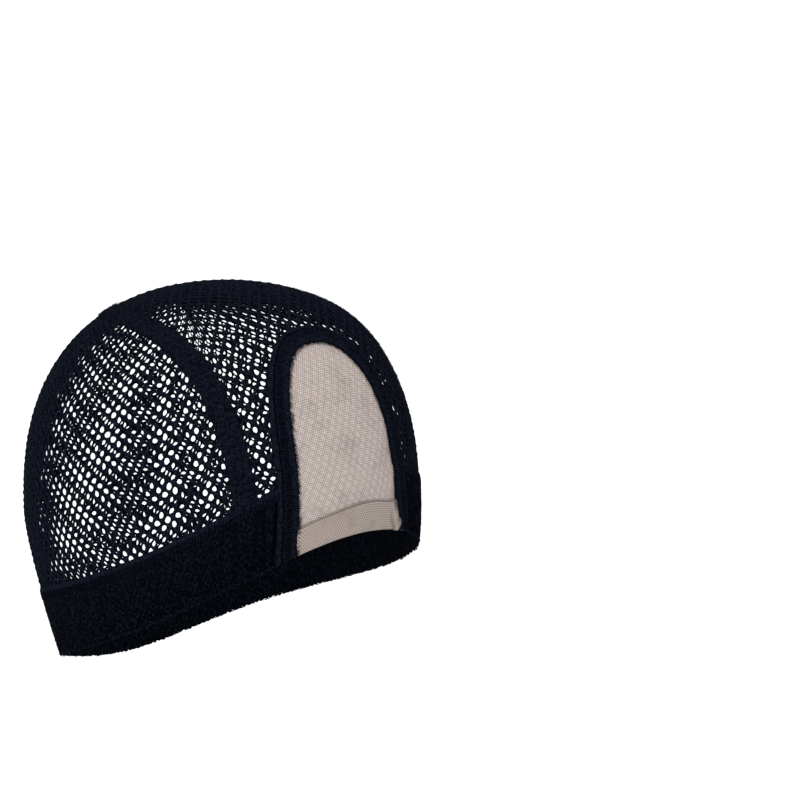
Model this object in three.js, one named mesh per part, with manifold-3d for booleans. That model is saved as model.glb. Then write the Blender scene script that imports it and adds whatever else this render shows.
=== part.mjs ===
// Open wig cap: net dome, elastic band, arched seam tape and a lace window at the front.
// Millimetres, +Z up, the front faces -Y. The origin is the inside of the crown's top.
import * as THREE from 'three';
import Module from 'manifold-3d';

const wasm = await Module();
wasm.setup();

// Head form inside the cap
const halfWidth = 78;
const halfLength = 88;
const crownHeight = 97;
const crownForward = 8.3;
const planRoundness = 2.06;
const profileRoundness = 2.46;
const taperDepth = 80;
const taperStart = 1.3;
const taper = { mean: 0.17, front: -0.08, side: -0.02 };

// Lower edge: heights above the widest line at the front, sides and nape
const hemFront = 9;
const hemSide = -44.4;
const hemNape = -79.7;
const hemTempleLift = 2.7;

// Cloth
const netThick = 1.1;
const laceThick = 0.9;
const laceHemThick = 1.3;
const tapeThick = 1.3;
const bindingThick = 1.5;
const bandThick = 2.6;
const overlockThick = 3;
const edgeGap = 0.4;
const layerGap = 0.5;

// Band round the opening
const bandHeight = 30;
const overlockHeight = 5;
const gatherDepth = 0.7;
const gatherPitch = 6;
const gatherReach = 26;

// Arched seam over the crown, on a chart of x and arc length over the head
const chartRadius = 90;
const seamHalfWidth = 43.8;
const seamCentre = 95;
const seamHalfReach = 96;
const seamFrontReach = 150;
const seamRoundness = 2.7;
const tapeWidth = 7.6;

// Window at the front, on the same chart
const windowHalfWidth = 27.4;
const windowTop = 90.5;
const windowShoulder = 40;
const windowRoundness = 2.3;
const windowFlare = 0.07;
const windowLegEnd = -40;
const bindingWidth = 7.8;
const laceHemHeight = 12;

// Coarse net that stands for the fine mesh
const backCell = 22;
const crownCell = 15;
const strandWidth = 5.4;
const crownStrandWidth = 3.6;
const cellZigzag = 0.16;
const netMargin = 3.2;

const cutterInside = 7;
const cutterOutside = 9;
const cutterDrop = 60;

const seat = { x: 0, y: -crownForward, z: crownHeight };

function taperAt(theta) {
  return taper.mean + taper.front * Math.cos(theta) + taper.side * Math.cos(2 * theta);
}

function girthShare(z, theta) {
  if (z < 0) {
    return 1 - taperAt(theta) * (-z / taperDepth) ** taperStart;
  }
  const rise = Math.min(z / crownHeight, 0.999999);
  return (1 - rise ** profileRoundness) ** (1 / profileRoundness);
}

function crownDrift(z) {
  const rise = Math.min(Math.max(z / crownHeight, 0), 1);
  return -crownForward * rise * rise;
}

// Point of the head form at a turn from the front and a height
function formPoint(theta, z) {
  const s = Math.sin(theta);
  const c = Math.cos(theta);
  const plan = (Math.abs(s) ** planRoundness + Math.abs(c) ** planRoundness) ** (-1 / planRoundness);
  const share = plan * girthShare(z, theta);
  return new THREE.Vector3(halfWidth * share * s, -halfLength * share * c + crownDrift(z), z);
}

// Below 0 inside the head form, above 0 outside it
function formLevel(x, y, z) {
  const dx = x / halfWidth;
  const dy = (y - crownDrift(z)) / halfLength;
  const reach = (Math.abs(dx) ** planRoundness + Math.abs(dy) ** planRoundness) ** (1 / planRoundness);
  if (z > crownHeight * 0.6) {
    const lift = z / crownHeight;
    const up = (reach ** profileRoundness + lift ** profileRoundness) ** (1 / profileRoundness);
    return up - 1;
  }
  return reach - girthShare(z, Math.atan2(dx, -dy));
}

// Point of the head form over x, at an arc length from the front of the widest line
function chartPoint(x, along) {
  const turn = along / chartRadius;
  const dy = -Math.cos(turn);
  const dz = Math.sin(turn);
  let near = 0;
  let far = 2 * (halfLength + crownHeight);
  for (let i = 0; i < 44; i += 1) {
    const middle = (near + far) / 2;
    if (formLevel(x, middle * dy, middle * dz) < 0) {
      near = middle;
    } else {
      far = middle;
    }
  }
  return new THREE.Vector3(x, near * dy, near * dz);
}

function formNormal(p) {
  const h = 0.05;
  const nx = formLevel(p.x + h, p.y, p.z) - formLevel(p.x - h, p.y, p.z);
  const ny = formLevel(p.x, p.y + h, p.z) - formLevel(p.x, p.y - h, p.z);
  const nz = formLevel(p.x, p.y, p.z + h) - formLevel(p.x, p.y, p.z - h);
  return new THREE.Vector3(nx, ny, nz).normalize();
}

function hemHeight(theta) {
  const third = hemTempleLift;
  const second = (hemFront + hemNape - 2 * hemSide) / 4;
  const mean = hemSide + second;
  const first = (hemFront - hemNape) / 2 - third;
  return mean + first * Math.cos(theta) + second * Math.cos(2 * theta) + third * Math.cos(3 * theta);
}

function bandTop(theta) {
  return hemHeight(theta) + bandHeight;
}

// A patch is a flat net of chart places, with the point of each and the faces between them
class Patch {
  constructor(place) {
    this.place = place;
    this.points = [];
    this.charts = [];
    this.faces = [];
    this.known = new Map();
  }

  vertex(u, v) {
    const p = this.place(u, v);
    const key = [p.x, p.y, p.z].map((k) => Math.round(k * 1000)).join(' ');
    if (!this.known.has(key)) {
      this.known.set(key, this.points.length);
      this.points.push(p);
      this.charts.push([u, v]);
    }
    return this.known.get(key);
  }

  face(...corners) {
    for (let i = 1; i < corners.length - 1; i += 1) {
      const [a, b, c] = [corners[0], corners[i], corners[i + 1]];
      if (a !== b && b !== c && c !== a) {
        this.faces.push([a, b, c]);
      }
    }
  }

  // Closed wall between two depths along the outward normal; a depth may vary over the chart
  wall(inner, outer) {
    const depth = (value, [u, v]) => (typeof value === 'function' ? value(u, v) : value);
    const count = this.points.length;
    const normals = this.points.map((p) => formNormal(p));
    const raise = (value) => this.points.map((p, i) => p.clone()
      .addScaledVector(normals[i], depth(value, this.charts[i])).sub(seat));
    const places = [...raise(outer), ...raise(inner)];
    const index = [];
    const edges = new Set();
    for (const [a, b, c] of this.faces) {
      index.push(a, b, c, count + a, count + c, count + b);
      edges.add(`${a} ${b}`).add(`${b} ${c}`).add(`${c} ${a}`);
    }
    for (const edge of edges) {
      const [a, b] = edge.split(' ').map(Number);
      if (!edges.has(`${b} ${a}`)) {
        index.push(b, a, count + a, b, count + a, count + b);
      }
    }
    return solid(places.flatMap((p) => [p.x, p.y, p.z]), index);
  }
}

function solid(values, index) {
  const mesh = new wasm.Mesh({
    numProp: 3,
    vertProperties: new Float32Array(values),
    triVerts: new Uint32Array(index),
  });
  return new wasm.Manifold(mesh);
}

function named(body, name, colour, roughness) {
  const { vertProperties, triVerts } = body.getMesh();
  const geometry = new THREE.BufferGeometry();
  geometry.setAttribute('position', new THREE.BufferAttribute(new Float32Array(vertProperties), 3));
  geometry.setIndex(new THREE.BufferAttribute(new Uint32Array(triVerts), 1));
  geometry.computeVertexNormals();
  const material = new THREE.MeshStandardMaterial({ color: colour, roughness, metalness: 0 });
  const mesh = new THREE.Mesh(geometry, material);
  mesh.name = name;
  return mesh;
}

function steps(from, to, count) {
  return Array.from({ length: count + 1 }, (_, i) => from + ((to - from) * i) / count);
}

// Rows of places joined by faces; the outside is on the left of u growing and v growing
function gridPatch(place, us, vs) {
  const patch = new Patch(place);
  for (let i = 0; i < us.length - 1; i += 1) {
    for (let j = 0; j < vs.length - 1; j += 1) {
      patch.face(
        patch.vertex(us[i], vs[j]),
        patch.vertex(us[i + 1], vs[j]),
        patch.vertex(us[i + 1], vs[j + 1]),
        patch.vertex(us[i], vs[j + 1]),
      );
    }
  }
  return patch;
}

// Arched line on the chart: straight legs, then a round head, moved out by an offset
function archLine(shape, offset) {
  const { halfSpan, shoulder, top, roundness, flare, foot } = shape;
  const at = (s) => {
    if (s >= 1) {
      const along = shoulder - (s - 1) * (shoulder - foot);
      return [halfSpan + flare * (shoulder - along), along];
    }
    const angle = (s * Math.PI) / 2;
    const across = halfSpan * Math.sin(angle) ** (2 / roundness);
    return [across, shoulder + (top - shoulder) * Math.cos(angle) ** (2 / roundness)];
  };
  return (s) => {
    const [x, y] = at(s);
    const [ax, ay] = at(Math.max(s - 0.004, 0));
    const [bx, by] = at(Math.min(s + 0.004, 2));
    const [dx, dy] = s <= 0 ? [1, 0] : [bx - ax, by - ay];
    const size = Math.hypot(dx, dy);
    return [Math.max(x - (dy / size) * offset, 0), y + (dx / size) * offset];
  };
}

const windowShape = {
  halfSpan: windowHalfWidth,
  shoulder: windowShoulder,
  top: windowTop - bindingWidth / 2,
  roundness: windowRoundness,
  flare: windowFlare,
  foot: windowLegEnd,
};
const seamShape = {
  halfSpan: seamHalfWidth,
  shoulder: seamCentre,
  top: seamCentre + seamHalfReach,
  roundness: seamRoundness,
  flare: 0,
  foot: seamCentre,
};

// The seam's lower half bends in again towards the temples
function seamLine(offset) {
  const upper = archLine(seamShape, offset);
  const lower = archLine({ ...seamShape, top: seamCentre + seamFrontReach }, offset);
  return (s) => {
    if (s <= 1) {
      return upper(s);
    }
    const [x, y] = lower(2 - s);
    return [x, 2 * seamCentre - y];
  };
}

// Stops along an arched line that lie the same distance apart
function evenStops(line, foot, count) {
  const fine = steps(0, foot, 400);
  const walked = [0];
  for (let i = 1; i < fine.length; i += 1) {
    const [ax, ay] = line(fine[i - 1]);
    const [bx, by] = line(fine[i]);
    walked.push(walked[i - 1] + Math.hypot(bx - ax, by - ay));
  }
  return steps(0, walked[walked.length - 1], count).map((reach) => {
    const after = Math.max(walked.findIndex((length) => length >= reach - 1e-9), 1);
    const share = (reach - walked[after - 1]) / (walked[after] - walked[after - 1]);
    return fine[after - 1] + (fine[after] - fine[after - 1]) * share;
  });
}

// Strip that follows an arched line from the left foot over the head to the right foot
function stripWall(line, width, foot, count, inner, outer) {
  const edges = [-width / 2, 0, width / 2];
  const offsets = edges.map((edge) => line(edge));
  const place = (s, t) => {
    const [x, along] = offsets[t](Math.abs(s));
    return chartPoint(Math.sign(s) * x, along);
  };
  const half = evenStops(line(0), foot, count);
  const stops = [...half.slice(1).reverse().map((s) => -s), ...half];
  return gridPatch(place, stops, [0, 1, 2]).wall(inner, outer);
}

// Area inside an arched line
function insideWall(line, stops, across, inner, outer) {
  const place = (share, s) => {
    const [x, along] = line(s);
    return chartPoint(share * x, along);
  };
  const shares = steps(-1, 1, across);
  return gridPatch(place, shares, stops.slice().reverse()).wall(inner, outer);
}

// Ring between two heights, from one turn to another
function ringWall(low, high, turns, rows, inner, outer) {
  const place = (theta, t) => formPoint(theta, low(theta) + (high(theta) - low(theta)) * t);
  return gridPatch(place, turns, rows).wall(inner, outer);
}

const allRound = steps(-Math.PI, Math.PI, 72);
const hemCutter = ringWall(
  (theta) => hemHeight(theta) - cutterDrop,
  hemHeight,
  allRound,
  [0, 0.5, 1],
  -cutterInside,
  cutterOutside,
);
const bandCutter = ringWall(
  (theta) => hemHeight(theta) - cutterDrop,
  (theta) => bandTop(theta) + edgeGap,
  allRound,
  [0, 0.5, 1],
  -cutterInside,
  cutterOutside,
);

const windowStops = [...steps(0, 1, 14), ...steps(1.2, 1.9, 6)];
const seamStops = steps(0, 2, 44);
function windowCutter(offset) {
  return insideWall((s) => archLine(windowShape, offset)(s), windowStops, 8, -cutterInside, cutterOutside);
}
function seamCutter(offset) {
  return insideWall((s) => seamLine(offset)(s), seamStops, 14, -cutterInside, cutterOutside);
}

// Net of staggered six-sided cells. Where a gap would reach past the limit its corners
// are drawn in, and a cell whose middle lies past the limit stays closed.
function netPatch(place, cell, columns, rows, strand, within, near) {
  const patch = new Patch((u, v) => place(u, v));
  const shrink = 1 - strand / cell;
  const bend = (column, row) => {
    const rises = (Math.round(column * 2) + row) % 2 === 0;
    return row + (rises ? cellZigzag : -cellZigzag);
  };
  let gaps = 0;
  for (let row = rows[0]; row < rows[1]; row += 1) {
    for (let column = columns[0]; column < columns[1]; column += 1) {
      const left = column + (row % 2 === 0 ? 0 : 0.5);
      const corners = [
        [left, bend(left, row)],
        [left + 0.5, bend(left + 0.5, row)],
        [left + 1, bend(left + 1, row)],
        [left + 1, bend(left + 1, row + 1)],
        [left + 0.5, bend(left + 0.5, row + 1)],
        [left, bend(left, row + 1)],
      ];
      const centre = [left + 0.5, row + 0.5];
      if (!corners.some((corner) => near(...corner)) && !near(...centre)) {
        continue;
      }
      const rim = corners.map((corner) => patch.vertex(...corner));
      const inner = within(...centre) ? corners.map(([u, v]) => {
        const reach = (share) => [
          centre[0] + (u - centre[0]) * share,
          centre[1] + (v - centre[1]) * share,
        ];
        let share = shrink;
        while (share > 0.05 && !within(...reach(share))) {
          share -= 0.03;
        }
        return reach(share);
      }) : [];
      const wide = inner.filter(([u, v]) => Math.hypot(u - centre[0], v - centre[1]) > 0.2).length;
      if (wide >= 4) {
        const hole = inner.map((corner) => patch.vertex(...corner));
        rim.forEach((corner, i) => {
          const next = (i + 1) % rim.length;
          patch.face(corner, rim[next], hole[next], hole[i]);
        });
        gaps += 1;
      } else {
        const middle = patch.vertex(...centre);
        rim.forEach((corner, i) => patch.face(corner, rim[(i + 1) % rim.length], middle));
      }
    }
  }
  patch.gaps = gaps;
  return patch;
}

// Signed distance to a rounded outline, above 0 outside it
function outlineSide(x, y, halfX, halfY, roundness) {
  const dx = Math.max(Math.abs(x) / halfX, 0.001);
  const dy = Math.max(Math.abs(y) / halfY, 0.001);
  const reach = (dx ** roundness + dy ** roundness) ** (1 / roundness);
  const slope = Math.hypot(dx ** (roundness - 1) / halfX, dy ** (roundness - 1) / halfY);
  return ((reach - 1) * reach ** (roundness - 1)) / slope;
}

// Signed distance across the seam, above 0 on the crown side
function crownSide(x, along) {
  const reach = along > seamCentre ? seamHalfReach : seamFrontReach;
  return -outlineSide(x, along - seamCentre, seamHalfWidth, reach, seamRoundness);
}

// Signed distance outside the window line
function windowSide(x, along) {
  if (along <= windowShoulder) {
    return Math.abs(x) - windowHalfWidth - windowFlare * (windowShoulder - along);
  }
  const reach = windowShape.top - windowShoulder;
  return outlineSide(x, along - windowShoulder, windowHalfWidth, reach, windowRoundness);
}

function turnOf(p) {
  return Math.atan2(p.x / halfWidth, -(p.y - crownDrift(p.z)) / halfLength);
}

function chartOf(p) {
  return [p.x, chartRadius * Math.atan2(p.z, -p.y)];
}

// Crown net: rows run across the head
const crownPlace = (u, v) => chartPoint(u * crownCell, v * crownCell);
const aboveBand = (p) => p.z - bandTop(turnOf(p));
const crownNear = (u, v) => {
  const p = crownPlace(u, v);
  return crownSide(p.x, v * crownCell) > -crownCell && aboveBand(p) > -crownCell
    && windowSide(p.x, v * crownCell) > -crownCell;
};
const crownWithin = (u, v) => {
  const p = crownPlace(u, v);
  return crownSide(p.x, v * crownCell) > netMargin + tapeWidth / 2
    && windowSide(p.x, v * crownCell) > netMargin + bindingWidth / 2
    && aboveBand(p) > netMargin;
};
const crownColumns = Math.ceil((seamHalfWidth + crownCell) / crownCell) + 1;
const crownRows = Math.ceil((seamCentre + seamHalfReach + crownCell) / crownCell) + 1;
const crownNet = netPatch(
  crownPlace,
  crownCell,
  [-crownColumns, crownColumns],
  [0, crownRows],
  crownStrandWidth,
  crownWithin,
  crownNear,
);

// Back net: rows lie along the band, columns run up the head
function climb(theta, rise) {
  const start = bandTop(theta);
  const parts = 90;
  let last = formPoint(theta, start);
  let walked = 0;
  if (rise <= 0) {
    return formPoint(theta, start + rise);
  }
  for (let i = 1; i <= parts; i += 1) {
    const z = start + (crownHeight - start) * Math.sin((i / parts) * (Math.PI / 2));
    const point = formPoint(theta, z);
    const step = point.distanceTo(last);
    if (walked + step >= rise) {
      return formPoint(theta, last.z + ((z - last.z) * (rise - walked)) / step);
    }
    walked += step;
    last = point;
  }
  return last;
}
const girth = Math.PI * (halfWidth + halfLength);
const backColumns = Math.round(girth / backCell);
const backTurn = (2 * Math.PI) / backColumns;
const backPlace = (u, v) => climb(u * backTurn, v * backCell);
const backNear = (u, v) => {
  const p = backPlace(u, v);
  return crownSide(...chartOf(p)) < backCell * 0.8 && v * backCell > -backCell;
};
const backWithin = (u, v) => {
  const p = backPlace(u, v);
  return crownSide(...chartOf(p)) < -(netMargin + tapeWidth / 2) && aboveBand(p) > netMargin
    && p.z < crownHeight * 0.985;
};
const frontColumns = Math.floor(0.3 / backTurn);
const backRows = Math.ceil((crownHeight - hemNape - bandHeight + 0.5 * halfLength) / backCell);
const backNet = netPatch(
  backPlace,
  backCell,
  [frontColumns, backColumns - frontColumns],
  [0, backRows],
  strandWidth,
  backWithin,
  backNear,
);

const crownNetBody = crownNet.wall(0, netThick)
  .intersect(seamCutter(-edgeGap / 2))
  .subtract(windowCutter(edgeGap / 2))
  .subtract(bandCutter);
const backNetBody = backNet.wall(0, netThick)
  .subtract(seamCutter(edgeGap / 2))
  .subtract(bandCutter);

// Tape over the seam, cut off at the band
const tapeFoot = 1.3;
const tapeBase = netThick + layerGap;
const tapeBody = stripWall(seamLine, tapeWidth, tapeFoot, 32, tapeBase, (s, t) => (
  tapeBase + tapeThick * (t === 1 ? 1 : 0.7)
)).subtract(bandCutter);

// Binding round the window, cut off at the hem
const bindingLine = (offset) => archLine(windowShape, offset);
const bindingBase = netThick + layerGap;
const bindingBody = stripWall(bindingLine, bindingWidth, 1.9, 24, bindingBase, (s, t) => (
  bindingBase + bindingThick * (t === 1 ? 1 : 0.7)
)).subtract(hemCutter);

// Band and its overlocked upper edge, open at the window
const windowFoot = archLine(windowShape, bindingWidth / 2)(1.4)[0] / halfWidth;
const bandStart = windowFoot * 0.6;
const gatherEnd = bandStart + (windowHalfWidth + gatherReach) / halfLength;
const bandTurns = [
  ...steps(bandStart, gatherEnd, 22),
  ...steps(gatherEnd, 2 * Math.PI - gatherEnd, 48).slice(1, -1),
  ...steps(2 * Math.PI - gatherEnd, 2 * Math.PI - bandStart, 22),
];
const overlockTurns = steps(bandStart, 2 * Math.PI - bandStart, 64);
const bandSplit = 1 - overlockHeight / bandHeight;
const windowOpening = windowCutter(bindingWidth / 2 + edgeGap);
function gather(theta) {
  const reach = Math.min(theta, 2 * Math.PI - theta) * halfLength;
  const fade = Math.max(0, 1 - (reach - windowHalfWidth) / gatherReach);
  return gatherDepth * fade * Math.sin((2 * Math.PI * reach) / gatherPitch);
}
const bandBody = ringWall(
  hemHeight,
  (theta) => bandTop(theta) - overlockHeight - edgeGap,
  bandTurns,
  [0, 0.15, 0.85, 1],
  0,
  (theta, t) => {
    const edge = t === 0 || t === 1;
    return bandThick * (edge ? 0.75 : 1) + (edge ? 0 : gather(theta));
  },
).subtract(windowOpening);
const overlockBody = ringWall(
  (theta) => bandTop(theta) - overlockHeight,
  bandTop,
  overlockTurns,
  [0, 1],
  0,
  overlockThick,
).subtract(windowOpening);

// Lace and its folded lower edge, under the inner half of the binding
const windowFill = windowCutter(-edgeGap / 2);
const laceTurns = steps(-0.62, 0.62, 18);
const laceHemBody = ringWall(
  hemHeight,
  (theta) => hemHeight(theta) + laceHemHeight,
  laceTurns,
  [0, 0.5, 1],
  0,
  laceHemThick,
).intersect(windowFill);
const laceHemCutter = ringWall(
  (theta) => hemHeight(theta) - cutterDrop,
  (theta) => hemHeight(theta) + laceHemHeight + edgeGap,
  laceTurns,
  [0, 0.5, 1],
  -cutterInside,
  cutterOutside,
);
const laceInner = (laceHemThick - laceThick) / 2;
const laceBody = insideWall(bindingLine(-edgeGap / 2), windowStops, 6, laceInner, laceInner + laceThick)
  .subtract(laceHemCutter);

const black = 0x0c0e15;
const cap = new THREE.Group();
cap.name = 'wig_cap';
cap.add(named(backNetBody, 'back_net', black, 0.92));
cap.add(named(crownNetBody, 'crown_net', black, 0.92));
cap.add(named(tapeBody, 'crown_seam_tape', 0x0a0b10, 0.95));
cap.add(named(bandBody, 'hem_band', 0x0b0c12, 0.95));
cap.add(named(overlockBody, 'band_overlock', 0x101118, 0.95));
cap.add(named(bindingBody, 'window_binding', 0x0d0e14, 0.95));
cap.add(named(laceBody, 'lace_panel', 0xc8bcb2, 0.8));
cap.add(named(laceHemBody, 'lace_hem', 0xaa9e8c, 0.85));

export default cap;
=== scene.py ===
import bpy
import math
import numpy as np
from mathutils import Matrix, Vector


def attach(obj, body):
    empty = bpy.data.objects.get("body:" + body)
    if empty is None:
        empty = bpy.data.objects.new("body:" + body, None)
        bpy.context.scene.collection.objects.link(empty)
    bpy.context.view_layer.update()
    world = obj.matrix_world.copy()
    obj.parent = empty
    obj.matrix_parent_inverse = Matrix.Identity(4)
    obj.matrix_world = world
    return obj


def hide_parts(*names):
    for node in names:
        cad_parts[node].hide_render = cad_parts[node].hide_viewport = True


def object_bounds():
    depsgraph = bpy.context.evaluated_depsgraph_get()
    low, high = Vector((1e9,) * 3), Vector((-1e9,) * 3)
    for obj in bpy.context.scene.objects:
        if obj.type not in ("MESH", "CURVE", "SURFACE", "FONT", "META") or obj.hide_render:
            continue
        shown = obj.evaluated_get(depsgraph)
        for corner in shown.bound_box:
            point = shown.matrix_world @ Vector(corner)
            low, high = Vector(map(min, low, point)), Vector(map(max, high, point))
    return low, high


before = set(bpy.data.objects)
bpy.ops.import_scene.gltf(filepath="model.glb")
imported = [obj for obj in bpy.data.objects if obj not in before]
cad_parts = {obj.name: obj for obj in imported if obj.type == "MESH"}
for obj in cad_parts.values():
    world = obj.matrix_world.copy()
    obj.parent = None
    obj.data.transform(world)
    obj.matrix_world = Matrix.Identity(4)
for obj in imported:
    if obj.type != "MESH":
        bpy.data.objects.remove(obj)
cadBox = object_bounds()
rng = np.random.default_rng(11)

# Head form inside the cap, millimetres from the middle of its widest line
form = {
    "halfWidth": 78.0,
    "halfLength": 88.0,
    "crownHeight": 97.0,
    "crownForward": 8.3,
    "planRoundness": 2.06,
    "profileRoundness": 2.46,
    "taperDepth": 80.0,
    "taperStart": 1.3,
    "taperMean": 0.17,
    "taperFront": -0.08,
    "taperSide": -0.02,
}
hem = {"front": 9.0, "side": -44.4, "nape": -79.7, "templeLift": 2.7, "bandHeight": 30.0, "overlock": 5.0}
seam = {"half": 43.8, "centre": 95.0, "reach": 96.0, "frontReach": 150.0, "roundness": 2.7, "tape": 7.6}
window = {
    "half": 27.4,
    "top": 90.5,
    "shoulder": 40.0,
    "roundness": 2.3,
    "flare": 0.07,
    "binding": 7.8,
    "foot": -40.0,
}
chartRadius = 90.0
seat = np.array([0.0, -form["crownForward"], form["crownHeight"]])


def taperAt(theta):
    return form["taperMean"] + form["taperFront"] * np.cos(theta) + form["taperSide"] * np.cos(2 * theta)


def crownDrift(z):
    return -form["crownForward"] * np.clip(z / form["crownHeight"], 0, 1) ** 2


def girthShare(z, theta):
    p = form["profileRoundness"]
    rise = np.clip(z / form["crownHeight"], 0, 0.999999)
    above = (1 - rise**p) ** (1 / p)
    below = 1 - taperAt(theta) * (np.clip(-z, 0, None) / form["taperDepth"]) ** form["taperStart"]
    return np.where(z < 0, below, above)


def formPoint(theta, z):
    theta, z = np.broadcast_arrays(np.asarray(theta, float), np.asarray(z, float))
    q = form["planRoundness"]
    s, c = np.sin(theta), np.cos(theta)
    share = (np.abs(s) ** q + np.abs(c) ** q) ** (-1 / q) * girthShare(z, theta)
    return np.stack([form["halfWidth"] * share * s, -form["halfLength"] * share * c + crownDrift(z), z], -1)


def turnOf(p):
    return np.arctan2(p[..., 0] / form["halfWidth"], -(p[..., 1] - crownDrift(p[..., 2])) / form["halfLength"])


# Below 0 inside the head form, above 0 outside
def formLevel(p):
    q, r = form["planRoundness"], form["profileRoundness"]
    z = p[..., 2]
    dx = np.abs(p[..., 0] / form["halfWidth"])
    dy = np.abs((p[..., 1] - crownDrift(z)) / form["halfLength"])
    reach = (dx**q + dy**q) ** (1 / q)
    up = (reach**r + np.clip(z / form["crownHeight"], 0, None) ** r) ** (1 / r) - 1
    return np.where(z > 0, up, reach - girthShare(np.minimum(z, 0), turnOf(p)))


def alongRay(start, direction, far=380.0):
    low = np.zeros(direction.shape[:-1])
    high = np.full(direction.shape[:-1], far)
    for _ in range(27):
        middle = (low + high) / 2
        inside = formLevel(start + direction * middle[..., None]) < 0
        low = np.where(inside, middle, low)
        high = np.where(inside, high, middle)
    return start + direction * low[..., None]


# Point of the head form over x, at an arc length from the front of the widest line
def chartPoint(x, along):
    x, along = np.broadcast_arrays(np.asarray(x, float), np.asarray(along, float))
    turn = along / chartRadius
    start = np.stack([x, 0 * x, 0 * x], -1)
    return alongRay(start, np.stack([0 * x, -np.cos(turn), np.sin(turn)], -1))


def chartOf(p):
    return p[..., 0], chartRadius * np.arctan2(p[..., 2], -p[..., 1])


def formNormal(p):
    h = 0.05
    steps = np.eye(3) * h
    n = np.stack([formLevel(p + steps[i]) - formLevel(p - steps[i]) for i in range(3)], -1)
    return n / np.maximum(np.linalg.norm(n, axis=-1, keepdims=True), 1e-12)


def hemHeight(theta):
    second = (hem["front"] + hem["nape"] - 2 * hem["side"]) / 4
    first = (hem["front"] - hem["nape"]) / 2 - hem["templeLift"]
    return (
        hem["side"]
        + second
        + first * np.cos(theta)
        + second * np.cos(2 * theta)
        + hem["templeLift"] * np.cos(3 * theta)
    )


def bandTop(theta):
    return hemHeight(theta) + hem["bandHeight"]


def archAt(s, half, shoulder, top, roundness, flare, foot):
    angle = np.clip(s, 0, 1) * math.pi / 2
    x = half * np.sin(angle) ** (2 / roundness)
    along = shoulder + (top - shoulder) * np.clip(np.cos(angle), 0, None) ** (2 / roundness)
    legAlong = shoulder - (np.clip(s, 1, 2) - 1) * (shoulder - foot)
    return np.where(s > 1, half + flare * (shoulder - legAlong), x), np.where(s > 1, legAlong, along)


def offsetLine(at, s, offset):
    ax, ay = at(np.clip(s - 0.004, 0, None))
    bx, by = at(np.clip(s + 0.004, None, 2))
    x, y = at(s)
    dx = np.where(s <= 0, 1.0, bx - ax)
    dy = np.where(s <= 0, 0.0, by - ay)
    size = np.maximum(np.hypot(dx, dy), 1e-9)
    return np.clip(x - dy / size * offset, 0, None), y + dx / size * offset


def windowAt(s):
    top = window["top"] - window["binding"] / 2
    return archAt(s, window["half"], window["shoulder"], top, window["roundness"], window["flare"], window["foot"])


def seamAt(s):
    turned = np.where(s > 1, 2 - s, s)
    reach = np.where(s > 1, seam["frontReach"], seam["reach"])
    x, y = archAt(turned, seam["half"], 0.0, 1.0, seam["roundness"], 0.0, 0.0)
    return x, seam["centre"] + np.where(s > 1, -y, y) * reach


def outlineSide(x, y, halfX, halfY, roundness):
    dx = np.maximum(np.abs(x) / halfX, 1e-3)
    dy = np.maximum(np.abs(y) / halfY, 1e-3)
    reach = (dx**roundness + dy**roundness) ** (1 / roundness)
    slope = np.hypot(dx ** (roundness - 1) / halfX, dy ** (roundness - 1) / halfY)
    return (reach - 1) * reach ** (roundness - 1) / slope


def crownSide(x, along):
    reach = np.where(along > seam["centre"], seam["reach"], seam["frontReach"])
    return -outlineSide(x, along - seam["centre"], seam["half"], reach, seam["roundness"])


def windowSide(x, along):
    reach = window["top"] - window["binding"] / 2 - window["shoulder"]
    leg = np.abs(x) - window["half"] - window["flare"] * (window["shoulder"] - along)
    head = outlineSide(x, along - window["shoulder"], window["half"], reach, window["roundness"])
    return np.where(along <= window["shoulder"], leg, head)


def smoothNoise(points, scale, seed, octaves=2):
    # sum of a few slow waves in random directions, the same on every run
    local = np.random.default_rng(seed)
    total = np.zeros(points.shape[:-1])
    for level in range(octaves):
        for _ in range(5):
            direction = local.normal(size=3)
            direction /= np.linalg.norm(direction)
            total += np.sin(points @ direction * scale * 2**level + local.uniform(0, 6.28)) / 2**level
    return total / 5


# Meshes


def newPiece(name, points, faces, material, uv=None, smooth=True):
    faces = faces.tolist() if isinstance(faces, np.ndarray) else faces
    mesh = bpy.data.meshes.new(name)
    mesh.from_pydata(((points - seat) / 1000).tolist(), [], faces)
    if uv is not None:
        layer = mesh.uv_layers.new(name="clothMap")
        loops = np.empty(len(mesh.loops), dtype=np.int32)
        mesh.loops.foreach_get("vertex_index", loops)
        layer.data.foreach_set("uv", np.ascontiguousarray(uv[loops]).ravel())
    mesh.polygons.foreach_set("use_smooth", [smooth] * len(mesh.polygons))
    mesh.materials.append(material)
    mesh.update()
    area = sum(polygon.area for polygon in mesh.polygons)
    print(name, "triangles", sum(len(f) - 2 for f in faces), "area", round(area, 4))
    piece = bpy.data.objects.new(name, mesh)
    bpy.context.scene.collection.objects.link(piece)
    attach(piece, "root")
    return piece


def gridFaces(rows, columns, start=0, flip=False, closed=False):
    i, j = np.meshgrid(np.arange(rows - (0 if closed else 1)), np.arange(columns - 1), indexing="ij")
    a = start + i * columns + j
    b = start + ((i + 1) % rows) * columns + j
    quads = np.stack([a, b, b + 1, a + 1], -1).reshape(-1, 4)
    return quads[:, ::-1] if flip else quads


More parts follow.
